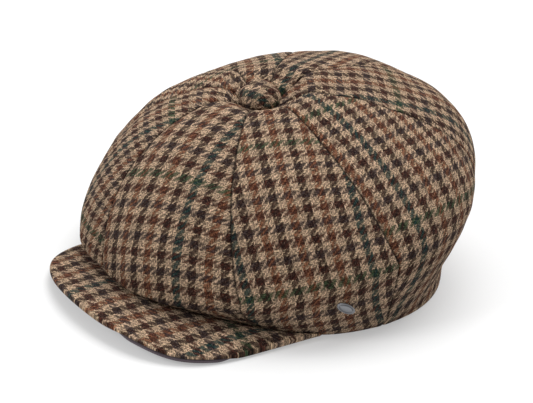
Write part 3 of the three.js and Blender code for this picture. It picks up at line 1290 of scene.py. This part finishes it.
@dataclass
class Peak(Part):
    """A stiff curved plate in two layers: tweed above and a smooth dark cloth below."""

    spread: float = 68.7  # half the angle that it takes up round the hem, in degrees
    reach: float = 64.0
    squareness: float = 0.48  # power that squares off the outline
    flare: float = 9.2  # how far the corners are pushed out
    gap: float = 0.3
    cover: float = 2.0
    lining: float = 1.8
    lift: float = 7.0
    bow: float = 3.0
    arch: float = 2.8
    arch_place: float = 0.04
    arch_width: float = 0.2
    wrap_drop: float = 1.8  # how far the cover wraps down over the lining's edge
    wrap_inset: float = 4.8  # how far the lining is drawn in there
    inset_most: float = 0.5  # and its most, in parts of the peak's depth
    wrap_gap: tuple[Pair, Pair] = ((0.08, 0.18), (0.5, 0.62))  # where the wrap fades and returns
    wrap_zone: float = 3.8  # width of the wrapped strip
    zone_most: float = 0.4
    zone_fade: Pair = (0.35, 1)  # shares of that width over which it fades
    proud: float = 0.3  # how far the lining's edge stands out elsewhere
    end: float = 0.972  # share of the spread at which the plate ends
    dents: Waves = Waves(21, 30, 70)
    dent_height: float = 0.25
    dents_from: Pair = (0.05, 0.5)  # shares of the way out over which they set in
    across: int = 260
    outwards: int = 56
    rolled: int = 12  # points round the outer edge
    crowding: float = 0.8  # power that draws points together there
    cut: Cut = Cut(
        teal=-16.5, across=12.3, lean=-0.12, olive=-46.5, up=10.5, tilt=0.16, datum=-136.0,
    )

    def edge(self, w: np.ndarray) -> np.ndarray:
        """Outer edge of the peak's underside, w running across it from -1 to 1.

        With t from -90 to 90 degrees it is x = a sin t + flare sin 2t, y = b + c |cos t|^k and
        z = lift cos2 t.

        Args:
            w: Places across the peak.

        Returns:
            Points in millimetres.
        """
        t = np.sign(w) * (2 * np.abs(w) - w * w) * np.pi / 2
        root = self.form.ring_point(self.form.hem, np.radians(self.spread))
        tip = self.form.ring_point(self.form.hem, np.array(0.0))[1] - self.reach
        x = root[0] * np.sin(t) + self.flare * np.sin(2 * t)
        y = root[1] + (tip - root[1]) * np.abs(np.cos(t)) ** self.squareness
        return np.stack([x, y, self.lift * np.cos(t) ** 2], axis=-1)

    def point(self, w: np.ndarray, s: np.ndarray, height: np.ndarray) -> np.ndarray:
        """Point of the peak: on the line from hem to edge, bowed up by 4 s (1 - s) and arched.

        Args:
            w: Places across, from -1 to 1.
            s: Share of the way from the hem to the outer edge.
            height: Height above the underside in millimetres.

        Returns:
            Points in millimetres.
        """
        angle = w * np.radians(self.spread)
        hem = self.form.ring_point(self.form.hem, angle)
        waist = self.form.ring_point(self.form.waist, angle)
        share = height / (waist[..., 2] - hem[..., 2])
        root = hem + (waist - hem) * share[..., None]
        edge = self.edge(w) + (root - hem) * IN_PLAN * (w**4)[..., None]
        edge[..., 2] += height
        root = root + unit(root * IN_PLAN) * self.gap
        point = root + (edge - root) * s[..., None]
        arch = self.arch * bell(w - self.arch_place, self.arch_width) * s * s
        point[..., 2] += self.bow * 4 * s * (1 - s) * (1 - w**4) + arch
        return point

    def wrap(self, w: np.ndarray) -> np.ndarray:
        """Where the cover wraps down over the lining's edge: 1 but for a stretch on the left."""
        fades, returns = self.wrap_gap
        return 1 - smoothstep(w, *fades) * (1 - smoothstep(w, *returns))

    def build(self) -> None:
        """Builds both layers."""
        bottom = self.lining + self.gap
        self.layer("peak_cloth", "peak_cover", "tweed", bottom, bottom + self.cover)
        self.layer("under_peak", "peak_lining", "peak_lining", 0.0, self.lining)

    def layer(self, name: str, node: str, slot: str, low: float, high: float) -> None:
        """Builds a layer: a closed section with a round outer edge, carried across the peak.

        Where the cover wraps down, its edge drops and the lining's edge is drawn in behind it.

        Args:
            name: Name of the piece.
            node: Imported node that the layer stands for.
            slot: The record's material slot.
            low: Height of its underside above the peak's underside.
            high: Height of its top.
        """
        covers = slot == "tweed"
        half = (high - low) / 2
        inward = np.linspace(0, 1, self.outwards) ** self.crowding
        roll = np.linspace(np.pi / 2, -np.pi / 2, self.rolled + 2)[1:-1]
        w = self.end * np.linspace(1, -1, self.across)
        nothing = np.zeros(w.shape)
        way = self.edge(w) - self.point(w, nothing, nothing)
        length = np.linalg.norm(way[:, :2], axis=-1)
        wrap = self.wrap(w)
        drawn_in = np.minimum(self.wrap_inset * wrap, self.inset_most * length)
        lip = nothing if covers else (self.proud - drawn_in) / length
        round_share = (half / length)[:, None]
        flat_end = 1 - round_share + lip[:, None]
        s_flat = inward * flat_end
        s = np.concatenate([s_flat, flat_end + round_share * np.cos(roll), s_flat[:, ::-1]], axis=1)
        top, bottom = np.full(inward.shape, high), np.full(inward.shape, low)
        heights = np.concatenate([top, low + half + half * np.sin(roll), bottom])
        z = np.repeat(heights[None, :], self.across, axis=0)
        if covers:
            lower = (high - heights) / (high - low)
            zone = np.minimum(self.wrap_zone, self.zone_most * length)[:, None]
            near_edge = 1 - smoothstep((1 - s) * length[:, None] / zone, *self.zone_fade)
            z = z - self.wrap_drop * wrap[:, None] * lower * near_edge
        places = np.repeat(w[:, None], s.shape[1], axis=1)
        points = self.point(places, s, z)
        dents = self.dents.at(points) * self.dent_height
        points[..., 2] += dents * smoothstep(s, *self.dents_from) * (1 - places**4)
        seam = np.full(s.shape, FAR_FROM_SEAM)
        self.add(
            name, node, slot, points, tube_faces(*s.shape)[:, ::-1],
            [self.wardrobe.tweed if covers else self.wardrobe.lining], None,
            self.cut.checks(points[..., 0], points[..., 1], seam),
        )


# ---- the pin ----

@dataclass
class Pin(Part):
    """A plain oval pin low on the wearer's left, with its post through the cloth.

    Radii of its section are in parts of its half width; heights are in millimetres.
    """

    gore: int = 2
    angle: float = 74.0
    level: float = 0.66
    length: float = 15.0
    width: float = 6.5
    thickness: float = 1.8
    tilt: float = 35.0  # in degrees
    post: float = 0.7
    post_length: float = 6.0
    pole: float = 0.002
    seat: float = 0.8
    back: float = 0.86
    rim: Pair = (0.97, 0.25)  # radius and height of the back's rounded edge
    face: float = 0.6  # height of the bead's foot
    bead: Triple = (0.88, 0.12, 0.55)  # radius of its middle, half its width, its height
    groove: Pair = (0.73, 0.05)  # radius and depth
    middle: float = 0.7
    around: int = 64

    def axes(self) -> tuple[np.ndarray, np.ndarray, np.ndarray, np.ndarray]:
        """Finds where the pin sits on the swollen cloth and how it is turned.

        Returns:
            The middle of the pin, and its long, short and outward directions.
        """
        angle, level = np.radians(self.angle), np.array(self.level)
        middle, half_width = self.form.span(self.gore)
        normal = self.form.normal(angle, level)
        swell = self.form.swelling((angle - middle) / half_width, level)
        centre = self.form.smooth(angle, level) + normal * swell
        side = unit(np.cross(UP, normal))
        turn = np.radians(-self.tilt)
        long = side * np.cos(turn) + np.cross(normal, side) * np.sin(turn)
        return centre, long, np.cross(normal, long), normal

    def section(self) -> tuple[np.ndarray, np.ndarray]:
        """The pin's section from the foot of its post over the bead to the middle of its face.

        Returns:
            Radii in parts of the pin's half width, and heights in millimetres.
        """
        bead = np.linspace(0, np.pi, 9)
        dome = np.linspace(0, np.pi / 2, 10)
        post = self.post / self.width * 2
        radius, half_width, height = self.bead
        r = np.concatenate([
            [self.pole, post, post, self.back, self.rim[0]], radius + half_width * np.cos(bead),
            [self.groove[0]], self.middle * np.cos(dome),
        ])
        r[-1] = self.pole
        face = self.seat + self.face
        foot = 2 * self.groove[1]
        z = np.concatenate([
            [-self.post_length, -self.post_length, self.seat, self.seat, self.seat + self.rim[1]],
            face + height * np.sin(bead), [face - self.groove[1]],
            face + foot + (self.thickness - self.face - foot) * np.sin(dome),
        ])
        return r, z

    def build(self) -> None:
        """Carries the pin's section round its oval and dresses it, and dresses the clutch."""
        r, z = self.section()
        turn = np.linspace(0, 2 * np.pi, self.around, endpoint=False)
        radius, theta = np.meshgrid(r, turn, indexing="ij")
        on_post = (np.arange(len(r)) < 3)[:, None]
        half_long = np.where(on_post, self.width / 2, self.length / 2)
        centre, long, short, normal = self.axes()
        points = centre + (radius * np.cos(theta) * half_long)[..., None] * long \
            + (radius * np.sin(theta) * self.width / 2)[..., None] * short + z[:, None, None] * normal
        self.add(
            "oval_pin", "pin", "pin_metal", points, tube_faces(len(r), self.around),
            [self.wardrobe.silver],
        )
        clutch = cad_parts["pin_clutch"]
        clutch.data.materials.clear()
        clutch.data.materials.append(self.wardrobe.silver)
        log.info("dressed %s", clutch.name)


# ---- the studio ----

@dataclass(frozen=True)
class Lamp:
    """A square soft light placed from the camera's point of view, in metres and watts.

    It stands to the camera's right of the cap by side, and towards the camera.
    """

    name: str
    side: float
    above: float
    towards: float
    size: float
    power: float


@dataclass
class Studio:
    """A pale floor, soft light from the upper left and a long lens.

    Angles are in degrees and the lens and its sensor in millimetres. The camera's target and
    the place that the lamps point at are in the cap's frame. The floor glows a little, so
    that shadows stay light as in a light tent.
    """

    placement: Placement
    azimuth: float = 56.48
    elevation: float = 23.97
    roll: float = 2.12
    distance: float = 1.4
    lens: float = 147.09
    sensor: float = 36.0
    target: Triple = (-10.81, -16.31, 46.76)
    lit: Triple = (0.0, 0.0, 50.0)
    lamps: tuple[Lamp, ...] = (
        Lamp("key", side=-1.2, above=1.0, towards=0.7, size=0.5, power=12),
        Lamp("top", side=0.45, above=2.1, towards=-0.75, size=2.0, power=82),
    )
    surroundings: float = 0.6
    grey: float = 0.38
    glow: float = 0.36
    mottle: Noise = Noise(3.0)
    unevenness: Pair = (0.985, 0.03)  # least lightness, and what the mottle adds
    half_floor: float = 6.0

    def axes(self) -> tuple[Vector, Vector, Vector]:
        """Works out how the camera is turned.

        Returns:
            Right, up and backward directions of the camera.
        """
        azimuth, elevation, roll = np.radians((self.azimuth, self.elevation, self.roll))
        level = Vector((np.cos(azimuth), np.sin(azimuth), 0.0))
        towards = Vector((np.sin(azimuth), -np.cos(azimuth), 0.0))
        back = towards * np.cos(elevation) + Vector(UP) * np.sin(elevation)
        right = level * np.cos(roll) + back.cross(level) * np.sin(roll)
        return right, back.cross(right), back

    @staticmethod
    def stand(name: str, data: bpy.types.ID, place: Vector, turn: Matrix) -> bpy.types.Object:
        """Stands a camera or a light in its place.

        Args:
            name: Name of the object.
            data: The camera or light.
            place: Where it stands.
            turn: How it is turned.

        Returns:
            The object, linked to the scene.
        """
        thing = bpy.data.objects.new(name, data)
        thing.matrix_world = Matrix.Translation(place) @ turn.to_4x4()
        bpy.context.scene.collection.objects.link(thing)
        return thing

    def camera(self) -> None:
        """Makes the camera and points it at the cap."""
        right, up, back = self.axes()
        target = Vector(self.placement.metres(np.array(self.target)))
        data = bpy.data.cameras.new("camera")
        data.lens = self.lens
        data.sensor_width = self.sensor
        turn = Matrix((right, up, back)).transposed()
        bpy.context.scene.camera = self.stand("camera", data, target + back * self.distance, turn)

    def light(self, lamp: Lamp) -> None:
        """Makes a light and points it at the cap.

        Args:
            lamp: Its place, size and power.
        """
        right, _, back = self.axes()
        target = Vector(self.placement.metres(np.array(self.lit)))
        side = Vector((right.x, right.y, 0.0)).normalized() * lamp.side
        place = target + side + Vector((back.x, back.y, 0.0)).normalized() * lamp.towards
        place.z = lamp.above
        data = bpy.data.lights.new(lamp.name, "AREA")
        data.size = lamp.size
        data.energy = lamp.power
        turn = (place - target).to_track_quat("Z", "Y").to_matrix()
        self.stand(lamp.name, data, place, turn)

    def floor(self) -> None:
        """Makes the floor, a plain pale plane that glows a little."""
        shader = Shader("floor")
        noise, _ = shader.noise(shader.place(), self.mottle)
        shade = self.unevenness[0] + self.unevenness[1] * noise
        material = shader.finish({
            "Base Color": shader.scaled((self.grey, self.grey, self.grey), shade),
            "Roughness": 0.9, "Specular IOR Level": 0.1,
            "Emission Color": (1.0, 1.0, 1.0, 1.0), "Emission Strength": self.glow,
        })
        corners = np.array([[-1, -1, 0], [1, -1, 0], [1, 1, 0], [-1, 1, 0]]) * self.half_floor
        mesh_object("floor", corners, np.arange(4).reshape(1, 4), [material])

    def build(self) -> None:
        """Sets up the camera, floor, lights and surroundings."""
        self.camera()
        self.floor()
        for lamp in self.lamps:
            self.light(lamp)
        world = bpy.data.worlds.new("surroundings")
        world.use_nodes = True
        background = world.node_tree.nodes["Background"]
        background.inputs["Color"].default_value = (1.0, 1.0, 1.0, 1.0)
        background.inputs["Strength"].default_value = self.surroundings
        bpy.context.scene.world = world
        bpy.context.scene.view_settings.view_transform = "Standard"


def main() -> None:
    """Builds the cap piece by piece, logging each piece's faces, then the studio."""
    logging.basicConfig(level=logging.INFO, format="%(name)s: %(message)s")
    form = CrownForm()
    placement = Placement.on_button(form)
    wardrobe = Wardrobe.stocked()
    for part in (Crown, Button, Peak, Pin):
        part(form, placement, wardrobe).build()
    Studio(placement).build()


if __name__ == "__main__":
    main()
